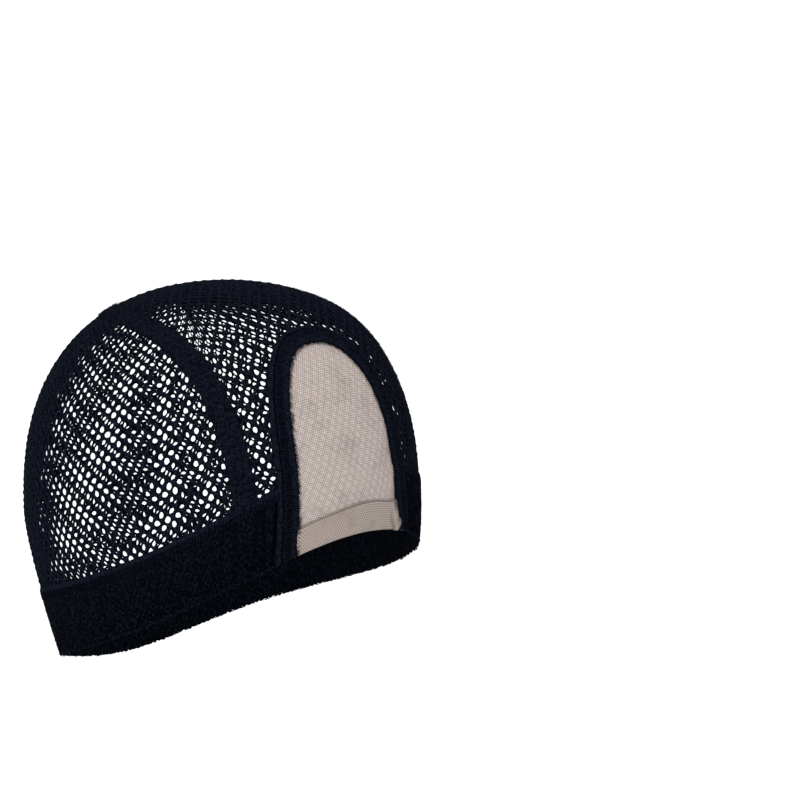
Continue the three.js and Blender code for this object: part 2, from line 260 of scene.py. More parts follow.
# Closed cloth strip from a grid of points: a fine outer side and a few rows of inner side
def wallMesh(base, outer, inner, uv, innerRows=3):
    rows, columns = base.shape[:2]
    normals = formNormal(base)
    kept = np.linspace(columns - 1, 0, innerRows).round().astype(int)
    top = base + normals * outer[..., None]
    bottom = base[:, kept] + (normals * inner[..., None])[:, kept]
    ring = np.concatenate([top, bottom], 1)
    ringUv = np.concatenate([uv, uv[:, kept]], 1)
    around = columns + innerRows
    i, j = np.meshgrid(np.arange(rows - 1), np.arange(around), indexing="ij")
    a = i * around + j
    b = i * around + (j + 1) % around
    faces = np.stack([a, b, b + around, a + around], -1).reshape(-1, 4)[:, ::-1].tolist()
    ends = [list(range(around)), list(range((rows - 1) * around, rows * around))[::-1]]
    return ring.reshape(-1, 3), faces + ends, ringUv.reshape(-1, 2) / 1000


# Many small tubes joined into one mesh: each row of paths is one bent fibre
def tubeMesh(paths, radii, sides=4):
    count, steps = paths.shape[:2]
    tangent = np.gradient(paths, axis=1)
    tangent /= np.maximum(np.linalg.norm(tangent, axis=-1, keepdims=True), 1e-9)
    helper = np.where(np.abs(tangent[..., 2:3]) < 0.8, np.array([0, 0, 1.0]), np.array([1.0, 0, 0]))
    across = np.cross(tangent, helper)
    across /= np.maximum(np.linalg.norm(across, axis=-1, keepdims=True), 1e-9)
    other = np.cross(tangent, across)
    angles = np.arange(sides) * 2 * math.pi / sides
    ring = (
        paths[:, :, None]
        + (across[:, :, None] * np.cos(angles)[:, None] + other[:, :, None] * np.sin(angles)[:, None])
        * radii[:, :, None, None]
    )
    points = ring.reshape(-1, 3)
    k, i, j = np.meshgrid(np.arange(count), np.arange(steps - 1), np.arange(sides), indexing="ij")
    a = (k * steps + i) * sides + j
    b = (k * steps + i) * sides + (j + 1) % sides
    faces = np.stack([a, b, b + sides, a + sides], -1).reshape(-1, 4)
    return points, faces[:, ::-1]


# Shaders


class Wire:
    def __init__(self, kit, socket):
        self.kit = kit
        self.socket = socket

    def maths(self, operation, other=None, third=None):
        values = [v for v in (self, other, third) if v is not None]
        return self.kit.maths(operation, *values)

    def __add__(self, other):
        return self.maths("ADD", other)

    __radd__ = __add__

    def __mul__(self, other):
        return self.maths("MULTIPLY", other)

    __rmul__ = __mul__

    def __sub__(self, other):
        return self.maths("SUBTRACT", other)

    def __rsub__(self, other):
        return self.kit.maths("SUBTRACT", other, self)

    def __truediv__(self, other):
        return self.maths("DIVIDE", other)

    def __rtruediv__(self, other):
        return self.kit.maths("DIVIDE", other, self)

    def __pow__(self, other):
        return self.maths("POWER", other)

    def __abs__(self):
        return self.maths("ABSOLUTE")

    def sine(self):
        return self.maths("SINE")

    def part(self):
        return self.maths("FRACT")

    def clamped(self, low=0.0, high=1.0):
        return self.maths("MINIMUM", high).maths("MAXIMUM", low)


class Cloth:
    def __init__(self, name, roughness=0.95, sheen=0.0, sheenTint=(0.3, 0.33, 0.42), gloss=0.012):
        self.material = bpy.data.materials.new(name)
        self.material.use_nodes = True
        self.tree = self.material.node_tree
        self.tree.nodes.clear()
        self.surface = self.tree.nodes.new("ShaderNodeBsdfPrincipled")
        self.surface.inputs["Roughness"].default_value = roughness
        self.surface.inputs["Sheen Weight"].default_value = sheen
        self.surface.inputs["Sheen Roughness"].default_value = 0.5
        self.surface.inputs["Sheen Tint"].default_value = (*sheenTint, 1)
        self.surface.inputs["Specular IOR Level"].default_value = gloss
        output = self.tree.nodes.new("ShaderNodeOutputMaterial")
        self.tree.links.new(self.surface.outputs[0], output.inputs[0])

    def put(self, socket, value):
        if isinstance(value, Wire):
            self.tree.links.new(value.socket, socket)
        elif value is not None:
            socket.default_value = value

    def node(self, kind, settings=None, output=0, **inputs):
        made = self.tree.nodes.new(kind)
        for key, value in (settings or {}).items():
            setattr(made, key, value)
        for key, value in inputs.items():
            self.put(made.inputs[int(key[1:]) if key[0] == "i" and key[1:].isdigit() else key], value)
        return Wire(self, made.outputs[output])

    def maths(self, operation, *values):
        inputs = {f"i{i}": value for i, value in enumerate(values)}
        return self.node("ShaderNodeMath", {"operation": operation}, **inputs)

    def vector(self, operation, *values):
        inputs = {f"i{i}": value for i, value in enumerate(values)}
        return self.node("ShaderNodeVectorMath", {"operation": operation}, **inputs)

    def place(self):
        return self.node("ShaderNodeTexCoord", output="Object")

    def map(self):
        uv = self.node("ShaderNodeUVMap", {"uv_map": "clothMap"})
        split = self.tree.nodes.new("ShaderNodeSeparateXYZ")
        self.tree.links.new(uv.socket, split.inputs[0])
        return uv, Wire(self, split.outputs[0]), Wire(self, split.outputs[1])

    def noise(self, scale, detail=3.0, roughness=0.6, where=None):
        where = where or self.place()
        return self.node("ShaderNodeTexNoise", Vector=where, Scale=scale, Detail=detail, Roughness=roughness)

    def mix(self, factor, low, high):
        low = low if isinstance(low, Wire) else (*low, 1)
        high = high if isinstance(high, Wire) else (*high, 1)
        return self.node("ShaderNodeMix", {"data_type": "RGBA"}, output=2, i0=factor, i6=low, i7=high)

    def colour(self, value):
        self.put(self.surface.inputs["Base Color"], value)

    def bump(self, height, distance, strength=1.0):
        made = self.node("ShaderNodeBump", Height=height, Distance=distance, Strength=strength)
        self.put(self.surface.inputs["Normal"], made)
        return self.material


yarn = {"dark": (0.0006, 0.0008, 0.0018), "light": (0.0085, 0.0112, 0.0200), "fine": 2300.0, "grain": 1100.0}


# Black yarn: fuzz of two sizes, with an optional relief that also darkens its valleys as painted shade
def yarnCloth(name, lift=1.0, fine=1.0, depth=0.00025, reliefAndShade=None):
    cloth = Cloth(name)
    fuzz = cloth.noise(yarn["fine"] * fine, 3.0, 0.75)
    grain = cloth.noise(yarn["grain"] * fine, 2.0, 0.6)
    height = fuzz * 0.5 + grain * 0.5
    share = ((height - 0.41) * 4.5).clamped()
    if reliefAndShade:
        valley = reliefAndShade(cloth)
        # painted shade: the relief's valleys darken the colour as well as deepen the bump
        share = share * (1.0 - valley)
        height = height - valley * 1.2
    # the second argument scales the lighter fuzz tone of each piece: painted light above 1, painted shade below 1
    light = tuple(k * lift for k in yarn["light"])
    cloth.colour(cloth.mix(share, yarn["dark"], light))
    return cloth.bump(height, depth, 1.0)


print("helpers ready")

# Nets

net = {
    "rowSpacing": 4.9,
    "waleSpacing": 5.85,
    "holeWidth": 1.34,
    "holeHeight": 1.46,
    "middleDepth": 0.6,
    "strandHalf": 0.6,
    "knot": 1.3,
    "strand": 0.92,
    "jitter": 0.06,
}
# 1.2: painted light on the nets
netYarn = yarnCloth("netYarn", 1.2)


# Staggered lattice of cells: 12 rim points and 12 hole points each, joined to one mesh
def netMesh(columns, rows, place, keepCentre, settle, seed):
    local = np.random.default_rng(seed)
    i, j = np.meshgrid(np.arange(columns[0], columns[1] + 1), np.arange(rows[0], rows[1] + 1), indexing="ij")
    cells = np.stack([i.ravel(), j.ravel()], -1)
    cells = cells[(cells.sum(1) % 2) == 0]
    halfU, halfV = net["rowSpacing"] / 2, net["waleSpacing"] / 2
    centres = place(cells[:, 0] * halfU, cells[:, 1] * halfV)
    keep = keepCentre(centres)
    cells = cells[keep]
    rim = np.array([[3, 0], [2, 1], [1, 2], [0, 3], [-1, 2], [-2, 1], [-3, 0], [-2, -1], [-1, -2], [0, -3], [1, -2], [2, -1]])
    rimKeys = cells[:, None] * 3 + rim[None]
    keys, index = np.unique(rimKeys.reshape(-1, 2), axis=0, return_inverse=True)
    rimIndex = index.reshape(len(cells), 12)
    wobble = local.normal(size=(len(keys), 2)) * net["jitter"]
    rimPoints = place(keys[:, 0] * halfU / 3 + wobble[:, 0], keys[:, 1] * halfV / 3 + wobble[:, 1])
    angle = np.arctan2(rim[:, 1] * halfV, rim[:, 0] * halfU)
    wide = net["holeWidth"] * (1 + net["jitter"] * local.normal(size=len(cells)))
    tall = net["holeHeight"] * (1 + net["jitter"] * local.normal(size=len(cells)))
    drop = 0.16 * np.sin(angle)[None] * np.cos(angle)[None] ** 2
    around = 1 + 0.05 * local.normal(size=(len(cells), 12))
    shift = local.normal(size=(len(cells), 2)) * net["jitter"]
    holeU = cells[:, :1] * halfU + shift[:, :1] + np.cos(angle)[None] * wide[:, None] * around * (1 - drop)
    holeV = cells[:, 1:] * halfV + shift[:, 1:] + np.sin(angle)[None] * tall[:, None] * around
    holePoints = place(holeU.ravel(), holeV.ravel())
    rimPoints, holePoints = settle(rimPoints), settle(holePoints)
    knots = (np.abs(keys) % 3 == 0).all(1)
    half = net["strandHalf"] * np.where(knots, net["knot"], net["strand"]) * (1 + 0.1 * local.normal(size=len(keys)))
    rimNormal, holeNormal = formNormal(rimPoints), formNormal(holePoints)
    middle = net["middleDepth"]
    points = np.concatenate([
        rimPoints + rimNormal * (middle + half)[:, None],
        holePoints + holeNormal * middle,
        rimPoints + rimNormal * (middle - half)[:, None],
    ])
    n, m = len(keys), len(holePoints)
    holeIndex = np.arange(m).reshape(-1, 12) + n
    nextRim, nextHole = np.roll(rimIndex, -1, 1), np.roll(holeIndex, -1, 1)
    faces = np.concatenate([
        np.stack([rimIndex, nextRim, nextHole, holeIndex], -1).reshape(-1, 4),
        np.stack([holeIndex, nextHole, nextRim + n + m, rimIndex + n + m], -1).reshape(-1, 4),
    ])
    # rim edges used once close the wall between top and bottom
    edges = np.stack([rimIndex, nextRim], -1).reshape(-1, 2)
    seen = {tuple(e) for e in edges.tolist()}
    rest = [e for e in edges.tolist() if (e[1], e[0]) not in seen]
    shut = [[b, a, a + n + m, b + n + m] for a, b in rest]
    return points, np.concatenate([faces, np.array(shut)]), len(cells)


# Pushes points past a limit back onto it, on the chart
def heldBy(side, limit, points, sign=1.0):
    x, along = chartOf(points)
    for _ in range(3):
        level = sign * (side(x, along) - limit)
        gx = sign * (side(x + 0.05, along) - side(x - 0.05, along)) / 0.1
        ga = sign * (side(x, along + 0.05) - side(x, along - 0.05)) / 0.1
        size = np.maximum(gx**2 + ga**2, 1e-6)
        step = np.where(level < 0, -level / size, 0)
        x, along = x + gx * step, along + ga * step
    moved = sign * (side(*chartOf(points)) - limit) < 0
    result = points.copy()
    result[moved] = chartPoint(x[moved], along[moved])
    return result


def liftedTo(lower, points):
    theta = turnOf(points)
    low = lower(theta)
    result = points.copy()
    under = points[:, 2] < low
    result[under] = formPoint(theta[under], low[under])
    return result


# Back net: rows lie along the band, columns climb towards the rear of the crown
backNet = {"rows": 60, "pole": (0.0, 42.0, 84.0), "rearPole": (0.0, 6.0, 96.0)}
turns = np.linspace(0, math.pi, 800)
bandLine = formPoint(turns, bandTop(turns))
bandWalked = np.concatenate([[0], np.cumsum(np.linalg.norm(np.diff(bandLine, axis=0), axis=1))])
halfBand = bandWalked[-1]


def backPlace(u, v):
    u = np.asarray(u, float)
    v = np.asarray(v, float)
    side = np.where(u < 0, -1.0, 1.0)
    theta = np.interp(halfBand - np.abs(u), bandWalked, turns)
    start = formPoint(theta, bandTop(theta))
    start = start / np.linalg.norm(start, axis=-1, keepdims=True)
    rear = np.clip((theta - 1.9) / 1.0, 0, 1)
    rear = (rear * rear * (3 - 2 * rear))[:, None]
    pole = np.array(backNet["pole"]) * (1 - rear) + np.array(backNet["rearPole"]) * rear
    pole = pole / np.linalg.norm(pole, axis=-1, keepdims=True)
    span = np.arccos(np.clip((start * pole).sum(-1), -1, 1))
    # arc length along each column, from a few even steps of its turn
    shares = np.linspace(-0.12, 1.0, 57)
    low = np.sin((1 - shares)[None] * span[:, None]) / np.sin(span)[:, None]
    high = np.sin(shares[None] * span[:, None]) / np.sin(span)[:, None]
    rays = start[:, None] * low[..., None] + pole[:, None] * high[..., None]
    rays /= np.linalg.norm(rays, axis=-1, keepdims=True)
    line = alongRay(np.zeros(3), rays)
    walked = np.concatenate([np.zeros((len(u), 1)), np.cumsum(np.linalg.norm(np.diff(line, axis=1), axis=-1), 1)], 1)
    base = walked[:, np.argmin(np.abs(shares))]
    wanted = np.clip(v + base, 0, walked[:, -1])
    at = np.clip((walked <= wanted[:, None]).sum(1) - 1, 0, len(shares) - 2)
    k = np.arange(len(u))
    gone = (wanted - walked[k, at]) / np.maximum(walked[k, at + 1] - walked[k, at], 1e-9)
    share = shares[at] + (shares[at + 1] - shares[at]) * gone
    low = np.sin((1 - share) * span) / np.sin(span)
    high = np.sin(share * span) / np.sin(span)
    ray = start * low[:, None] + pole * high[:, None]
    ray /= np.linalg.norm(ray, axis=-1, keepdims=True)
    point = alongRay(np.zeros(3), ray)
    point[:, 0] = np.abs(point[:, 0]) * side
    return point


def backKeep(p):
    return (crownSide(*chartOf(p)) < -0.3) & (p[:, 2] > bandTop(turnOf(p)) - 3.0)


def backSettle(p):
    p = heldBy(crownSide, -0.3, p, -1.0)
    return liftedTo(lambda t: bandTop(t) - 2.5, p)


columnCount = int(halfBand / (net["rowSpacing"] / 2))
points, faces, count = netMesh((-columnCount, columnCount), (-2, backNet["rows"]), backPlace, backKeep, backSettle, 3)
backNetCloth = newPiece("backNetCloth", points, faces, netYarn)
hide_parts("back_net")
print("back net holes", count, "faces", len(faces))

# Crown net: rows lie across the head, columns run from the front to the rear
crownNet = {"rowSpacing": 5.05, "columns": 20, "rows": (4, 70)}


def crownPlace(u, v):
    return chartPoint(u * crownNet["rowSpacing"] / net["rowSpacing"], v)


def crownKeep(p):
    x, along = chartOf(p)
    return (crownSide(x, along) > 0.3) & (windowSide(x, along) > 0.3) & (p[:, 2] > bandTop(turnOf(p)) - 3.0)


def crownSettle(p):
    p = heldBy(crownSide, 0.3, p, 1.0)
    p = heldBy(windowSide, 0.3, p, 1.0)
    return liftedTo(lambda t: bandTop(t) - 2.5, p)


points, faces, count = netMesh(
    (-crownNet["columns"], crownNet["columns"]), crownNet["rows"], crownPlace, crownKeep, crownSettle, 4
)
crownNetCloth = newPiece("crownNetCloth", points, faces, netYarn)
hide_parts("crown_net")
print("crown net holes", count, "faces", len(faces))


# Strips along an arched line


def stripGrid(at, offsets, endLevel, count):
    # each offset has its own foot, where endLevel of its point falls below 0
    fine = np.linspace(0, 1.95, 700)
    grid = []
    for offset in offsets:
        x, along = offsetLine(at, fine, offset)
        line = chartPoint(x, along)
        level = endLevel(line)
        below = np.nonzero(level < 0)[0]
        last = below[0] if len(below) else len(fine) - 1
        share = level[last - 1] / (level[last - 1] - level[last]) if len(below) else 1.0
        end = fine[last - 1] + (fine[last] - fine[last - 1]) * share
        walked = np.concatenate([[0], np.cumsum(np.linalg.norm(np.diff(line, axis=0), axis=1))])
        stop = np.interp(end, fine, walked)
        s = np.interp(np.linspace(0, stop, count), walked, fine)
        x, along = offsetLine(at, s, offset)
        right = chartPoint(x, along)
        left = right * np.array([-1, 1, 1])
        grid.append((np.concatenate([left[:0:-1], right]), np.concatenate([-np.linspace(0, stop, count)[:0:-1], np.linspace(0, stop, count)])))
    base = np.stack([g[0] for g in grid], 1)
    reach = np.stack([g[1] for g in grid], 1)
    return base, reach * 0 + reach.mean(1, keepdims=True)


def clothMap(reach, across):
    return np.stack([reach, np.broadcast_to(across, reach.shape)], -1)


# Crown seam tape: flat fuzzy knit with uneven edges
tape = {"count": 620, "rows": 21, "base": 1.0, "thick": 0.75, "grain": 0.12, "edgeWave": 0.35}
offsets = np.linspace(-seam["tape"] / 2, seam["tape"] / 2, tape["rows"])
base, reach = stripGrid(seamAt, offsets, lambda p: p[:, 2] - bandTop(turnOf(p)) + 1.5, tape["count"])
across = np.broadcast_to(offsets, reach.shape)
edge = np.abs(across) / (seam["tape"] / 2)
wave = tape["edgeWave"] * (smoothNoise(base, 0.9, 20) + 0.8 * np.sin(2 * math.pi * reach / 4.4))
widthWay = np.gradient(base, axis=1)
widthWay /= np.linalg.norm(widthWay, axis=-1, keepdims=True)
base = base + widthWay * (wave * edge**2 * np.sign(across))[..., None]
outer = tape["base"] + tape["thick"] * (1 - 0.8 * edge**5) + 0.16 * smoothNoise(base, 0.9, 21)
outer += tape["grain"] * rng.normal(size=outer.shape)
points, faces, uv = wallMesh(base, outer, tape["base"] - 0.25 + 0 * outer, clothMap(reach, offsets))
# 0.95: a little painted shade on the tape
crownTape = newPiece("crownTape", points, faces, yarnCloth("tapeYarn", 0.95, 0.75, 0.0005), uv)
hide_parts("crown_seam_tape")

# Window binding: plain outer roll, groove, ribbed middle and fuzzy inner edge
binding = {
    "count": 780,
    "rows": 25,
    "base": 1.05,
    "thick": 1.1,
    "ribPitch": 1.05,
    "ribDepth": 0.4,
    "ribFrom": -1.3,
    "ribTo": 1.5,
    "groove": 0.65,
    "grain": 0.07,
}


def bindingShare(across):
    middle = (binding["ribFrom"] + binding["ribTo"]) / 2
    half = (binding["ribTo"] - binding["ribFrom"]) / 2
    return middle, half


# Painted shade in the colour: darker rib valleys and a darker groove beside the ribs; the same mask deepens the bump
def bindingRibShade(cloth):
    uv, x, y = cloth.map()
    middle, half = bindingShare(None)
    inside = (1.0 - abs((y * 1000.0 - middle) / half) ** 6.0).clamped()
    wave = (x * (2000.0 * math.pi / binding["ribPitch"]) + cloth.noise(700.0, 1.0) * 2.0).sine() * 0.5 + 0.5
    groove = (1.0 - abs((y * 1000.0 - binding["ribTo"] - 0.35) / 0.45)).clamped()
    return ((1.0 - wave) * inside * 0.85).maths("MAXIMUM", groove * 0.95)


offsets = np.linspace(-window["binding"] / 2, window["binding"] / 2, binding["rows"])
base, reach = stripGrid(windowAt, offsets, lambda p: p[:, 2] - hemHeight(turnOf(p)) - 0.2, binding["count"])
across = np.broadcast_to(offsets, reach.shape)
edge = np.abs(across) / (window["binding"] / 2)
middle, half = bindingShare(None)
ribbed = np.clip(1 - np.abs((across - middle) / half) ** 6, 0, 1)
rib = 0.5 + 0.5 * np.sin(2 * math.pi * reach / binding["ribPitch"])
outer = binding["base"] + binding["thick"] * (1 - 0.7 * edge**5) + binding["ribDepth"] * rib * ribbed
outer -= binding["groove"] * np.exp(-(((across - binding["ribTo"] - 0.35) / 0.35) ** 2))
outer -= 0.25 * np.exp(-(((across - binding["ribFrom"] + 0.3) / 0.4) ** 2))
outer += 0.12 * smoothNoise(base, 1.1, 22) + binding["grain"] * rng.normal(size=outer.shape)
inner = binding["base"] - 1.35 + 0 * outer
points, faces, uv = wallMesh(base, outer, inner, clothMap(reach, offsets))
# 1.15: painted light on the binding
bindingYarn = yarnCloth("bindingYarn", 1.15, 1.0, 0.0003, bindingRibShade)
windowBinding = newPiece("windowBinding", points, faces, bindingYarn, uv)
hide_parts("window_binding")


# Ring pieces between two heights, cut off beside the binding
def ringGrid(low, high, rows, count, clear):
    grid = []
    for share in rows:
        start = np.linspace(0.05, 0.9, 600)
        z = low(start) + (high(start) - low(start)) * share
        x, along = chartOf(formPoint(start, z))
        side = windowSide(x, along) - clear
        first = np.nonzero(side > 0)[0][0]
        begin = np.interp(0, [side[first - 1], side[first]], [start[first - 1], start[first]])
        fine = np.linspace(begin, 2 * math.pi - begin, 2400)
        line = formPoint(fine, low(fine) + (high(fine) - low(fine)) * share)
        walked = np.concatenate([[0], np.cumsum(np.linalg.norm(np.diff(line, axis=0), axis=1))])
        theta = np.interp(np.linspace(0, walked[-1], count), walked, fine)
        points = formPoint(theta, low(theta) + (high(theta) - low(theta)) * share)
        grid.append((points, np.linspace(0, walked[-1], count), theta))
    base, reach, theta = [np.stack([g[k] for g in grid], 1) for k in range(3)]
    return base, reach * 0 + reach.mean(1, keepdims=True), theta


# Hem band: doubled net under tension, its closed cells show as staggered pits, darkened with painted shade
band = {
    "count": 1400,
    "rows": 60,
    "thick": 1.75,
    "cellWidth": 2.6,
    "cellHeight": 3.3,
    "pitWidth": 0.27,
    "pitTall": 0.31,
    "slant": 0.25,
    "warp": 2.4,
    "pit": 0.9,
    "grain": 0.1,
    "foldDepth": 1.3,
    "folds": (2.2, 5.6, 10.5, 17.0, 25.0),
    "foldWidth": 0.9,
}
bandHigh = hem["bandHeight"] - hem["overlock"]


# Squared distance to the nearest cell of a staggered lattice, in cells
def staggered(s, v, wide, tall):
    su, vu = (s.part() - 0.5) * wide, (v.part() - 0.5) * tall
    sv, vv = ((s + 0.5).part() - 0.5) * wide, ((v + 0.5).part() - 0.5) * tall
    return (su * su + vu * vu).maths("MINIMUM", sv * sv + vv * vv)


# Painted shade in the colour: darker pits of the cells, less towards the top, and darker lines along the folds; the
# same mask deepens the bump
def bandPitFoldShade(cloth):
    uv, x, y = cloth.map()
    u = x * (1000.0 / band["cellWidth"])
    v = y * (1000.0 / band["cellHeight"])
    s = u + v * band["slant"] + (cloth.noise(210.0, 2.0) - 0.5) * band["warp"]
    v = v + (cloth.noise(260.0, 2.0) - 0.5) * band["warp"]
    near = staggered(s, v, 1 / band["pitWidth"], 1 / band["pitTall"])
    noise = cloth.noise(650.0, 3.0, 0.75) - 0.5
    pitAndFoldShade = ((1.0 - near + noise * 6.0) * 1.4).clamped() * (1.0 - y * 14.0).clamped()
    side = (x.maths("MINIMUM", bandLength / 1000 - x)) * 1000.0
    # painted shade along the folds near each end of the band
    for k, at in enumerate(band["folds"]):
        way = 0.06 * (k % 2 * 2 - 1)
        dark = (1.0 - abs((side - y * (1000.0 * way) - at) / (band["foldWidth"] * (1.3 + 0.3 * k)))).clamped()
        pitAndFoldShade = pitAndFoldShade.maths("MAXIMUM", dark * (0.95 - 0.15 * k))
    return pitAndFoldShade


shares = np.linspace(0, 1, band["rows"])
base, reach, theta = ringGrid(
    hemHeight, lambda t: bandTop(t) - hem["overlock"] + 0.4, shares, band["count"], window["binding"] / 2 - 0.6
)
height = np.broadcast_to(shares, reach.shape) * bandHigh
total = reach[-1][None]
bandLength = float(reach[-1, 0])
s = reach / band["cellWidth"] + band["slant"] * height / band["cellHeight"]
v = height / band["cellHeight"]
s = s + 0.2 * band["warp"] * smoothNoise(base, 0.3, 51)
v = v + 0.2 * band["warp"] * smoothNoise(base, 0.4, 52)
near = np.minimum(*[
    (((s + k) % 1 - 0.5) / band["pitWidth"]) ** 2 + (((v + k) % 1 - 0.5) / band["pitTall"]) ** 2 for k in (0, 0.5)
])
pit = np.clip((1.15 - near + 0.7 * smoothNoise(base, 1.3, 28)) * 1.2, 0, 1) * (1 - 0.4 * shares)
side = np.minimum(reach, total - reach)
fold = sum(
    np.exp(-(((side - at - 0.06 * height * (k % 2 * 2 - 1)) / (band["foldWidth"] * (1 + 0.25 * k))) ** 2)) / (1 + 0.4 * k)
    for k, at in enumerate(band["folds"])
)
edge = np.clip(1 - height / 1.4, 0, 1)
outer = band["thick"] * (1 - 0.45 * edge**2) - band["pit"] * pit * (1 - edge) - band["foldDepth"] * fold * (1 - edge)
outer += 0.14 * smoothNoise(base, 0.35, 23) + band["grain"] * rng.normal(size=outer.shape)
outer = np.maximum(outer, 0.35)
wave = 0.3 * np.sin(2 * math.pi * reach / 2.3 + smoothNoise(base, 0.5, 29)) + 0.35 * smoothNoise(base, 0.9, 25)
wave += 0.12 * rng.normal(size=wave.shape)
base = base + np.array([0, 0, 1.0]) * (wave * np.exp(-height / 0.6))[..., None]
points, faces, uv = wallMesh(base, outer, 0.05 + 0 * outer, clothMap(reach, height), 6)
# 0.8: painted shade on the band, which faces down
hemBand = newPiece("hemBand", points, faces, yarnCloth("bandYarn", 0.8, 0.8, 0.0005, bandPitFoldShade), uv)
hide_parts("hem_band")

# Overlocked upper edge of the band: slanting ribs over a rolled edge
overlock = {"count": 2600, "rows": 11, "thick": 1.85, "ribPitch": 1.25, "ribDepth": 0.32, "lean": 0.15, "grain": 0.05}


# Painted shade in the colour: darker valleys between the slanting ribs, on the lower part of the edge; the same mask
# deepens the bump
def overlockRibShade(cloth):
    uv, x, y = cloth.map()
    lean = x * (2000.0 * math.pi / overlock["ribPitch"]) + y * (2000.0 * math.pi * overlock["lean"] / 5.0)
    wave = (lean + cloth.noise(500.0, 2.0) * 4.0).sine() * 0.5 + 0.5
    return ((1.0 - wave) * 1.5).clamped() * ((0.0036 - y) * 900.0).clamped(0.0, 1.0) * 0.8


shares = np.linspace(0, 1, overlock["rows"])
base, reach, theta = ringGrid(
    lambda t: bandTop(t) - hem["overlock"], bandTop, shares, overlock["count"], window["binding"] / 2 - 0.6
)
level = np.broadcast_to(shares, reach.shape)
rib = 0.5 + 0.5 * np.sin(2 * math.pi * (reach / overlock["ribPitch"] + overlock["lean"] * level))
rise = np.sqrt(np.clip(1 - np.clip(2 * level - 1, 0, 1) ** 4, 0, 1))
outer = 0.9 + (overlock["thick"] - 0.9) * rise + overlock["ribDepth"] * (rib - 0.7) * np.clip((0.72 - level) * 4, 0, 1)
outer += 0.10 * smoothNoise(base, 1.3, 26) + overlock["grain"] * rng.normal(size=outer.shape)
base = base + np.array([0, 0, 1.0]) * (0.25 * (rib - 0.5) * np.clip(1 - 4 * level, 0, 1))[..., None]
points, faces, uv = wallMesh(base, outer, 0 * outer, clothMap(reach, level * hem["overlock"]))
# 1.15: painted light on the overlocked edge
overlockYarn = yarnCloth("overlockYarn", 1.15, 1.0, 0.0003, overlockRibShade)
bandOverlock = newPiece("bandOverlock", points, faces, overlockYarn, uv)
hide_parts("band_overlock")

# Lace: one sheet of fine six-sided net
lace = {
    "cell": 0.95,
    "cover": 0.92,
    "thread": (0.150, 0.118, 0.106),
    "cellColour": (0.47, 0.402, 0.374),
    "depth": 0.75,
    "rows": 150,
    "columns": 61,
}


# Fine six-sided net: tan threads round small pale cells that let a little through
def laceCloth(name, thread, cellColour, cell, cover, layers=1, shade=None):
    cloth = Cloth(name, roughness=0.8, gloss=0.15)
    uv, x, y = cloth.map()
    size = cell / 1000

    # 0 in the middle of each cell and 1 on the threads round it
    def lattice(dx, dy):
        a = (x + dx) / size
        b = (y + dy) / (size * 1.732)
        au, bu = a.part() - 0.5, (b.part() - 0.5) * 1.732
        av, bv = (a + 0.5).part() - 0.5, ((b + 0.5).part() - 0.5) * 1.732
        return ((au * au + bu * bu).maths("MINIMUM", av * av + bv * bv)) * 3.0

    near = lattice(0.0, 0.0)
    for extra in range(1, layers):
        near = near * 0.6 + lattice(size * 0.37 * extra, size * 0.53 * extra) * 0.6
    thread_ = ((near - 0.25) * 1.6 + (cloth.noise(2500.0, 3.0) - 0.5) * 0.7).clamped()
    slow = cloth.noise(110.0, 2.0)
    tone = cloth.mix(thread_, cellColour, thread)
    dim = tuple(k * 0.86 for k in thread)
    tone = cloth.mix(((slow - 0.5) * 1.2).clamped(), tone, dim)
    if shade:
        tone = cloth.mix(shade(cloth, x, y), tone, tuple(k * 0.35 for k in thread))
    cloth.colour(tone)
    cloth.put(cloth.surface.inputs["Alpha"], thread_ * (1 - cover) + cover)
    return cloth.bump(thread_, 0.00018, 0.7)


laceThread = laceCloth("laceThread", lace["thread"], lace["cellColour"], lace["cell"], lace["cover"])
rows = np.concatenate([np.linspace(0, 1, lace["rows"] // 2)[:-1], np.linspace(1, 1.95, lace["rows"] // 2)])
x, along = offsetLine(windowAt, rows, -0.3)
share = np.linspace(-1, 1, lace["columns"])
base = chartPoint(x[:, None] * share[None], along[:, None] + 0 * share[None])
theta = turnOf(base)
low = hemHeight(theta) + 0.6
base = np.where((base[..., 2] < low)[..., None], formPoint(theta, np.maximum(base[..., 2], low)), base)
flat = np.stack(chartOf(base), -1)
above = base[..., 2] - hemHeight(theta)
sag = 0.5 * np.exp(-(((above - 19 - 0.25 * base[..., 0]) / 3.5) ** 2)) - 0.4 * np.exp(-(((above - 14) / 2.5) ** 2))
relief = 0.16 * smoothNoise(base, 0.16, 31) + sag * (0.5 + base[..., 0] / 50)
points = (base + formNormal(base) * (lace["depth"] + relief)[..., None]).reshape(-1, 3)
lacePanel = newPiece("lacePanel", points, gridFaces(*base.shape[:2]), laceThread, flat.reshape(-1, 2) / 1000)
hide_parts("lace_panel")

# Folded lower edge of the lace: double layer with its fold on top and a tucked far corner
laceHem = {
    "height": 12.0,
    "depth": 1.0,
    "thread": (0.112, 0.087, 0.073),
    "cellColour": (0.37, 0.312, 0.284),
    "rows": 33,
    "columns": 241,
    "tuckAt": 0.8,
    "shadeFrom": 0.0195,
}


# Darker fold line on top, and shade in the creases of the tucked corner
def hemShade(cloth, x, y):
    line = (1.0 - abs((y - 0.0116) / 0.0006)).clamped() * 0.7
    corner = ((x - laceHem["shadeFrom"]) * 220.0).clamped()
    wave = ((x * 900.0 + y * 420.0).sine() * 0.5 + 0.5) * corner * 0.75
    return line.maths("MAXIMUM", wave)


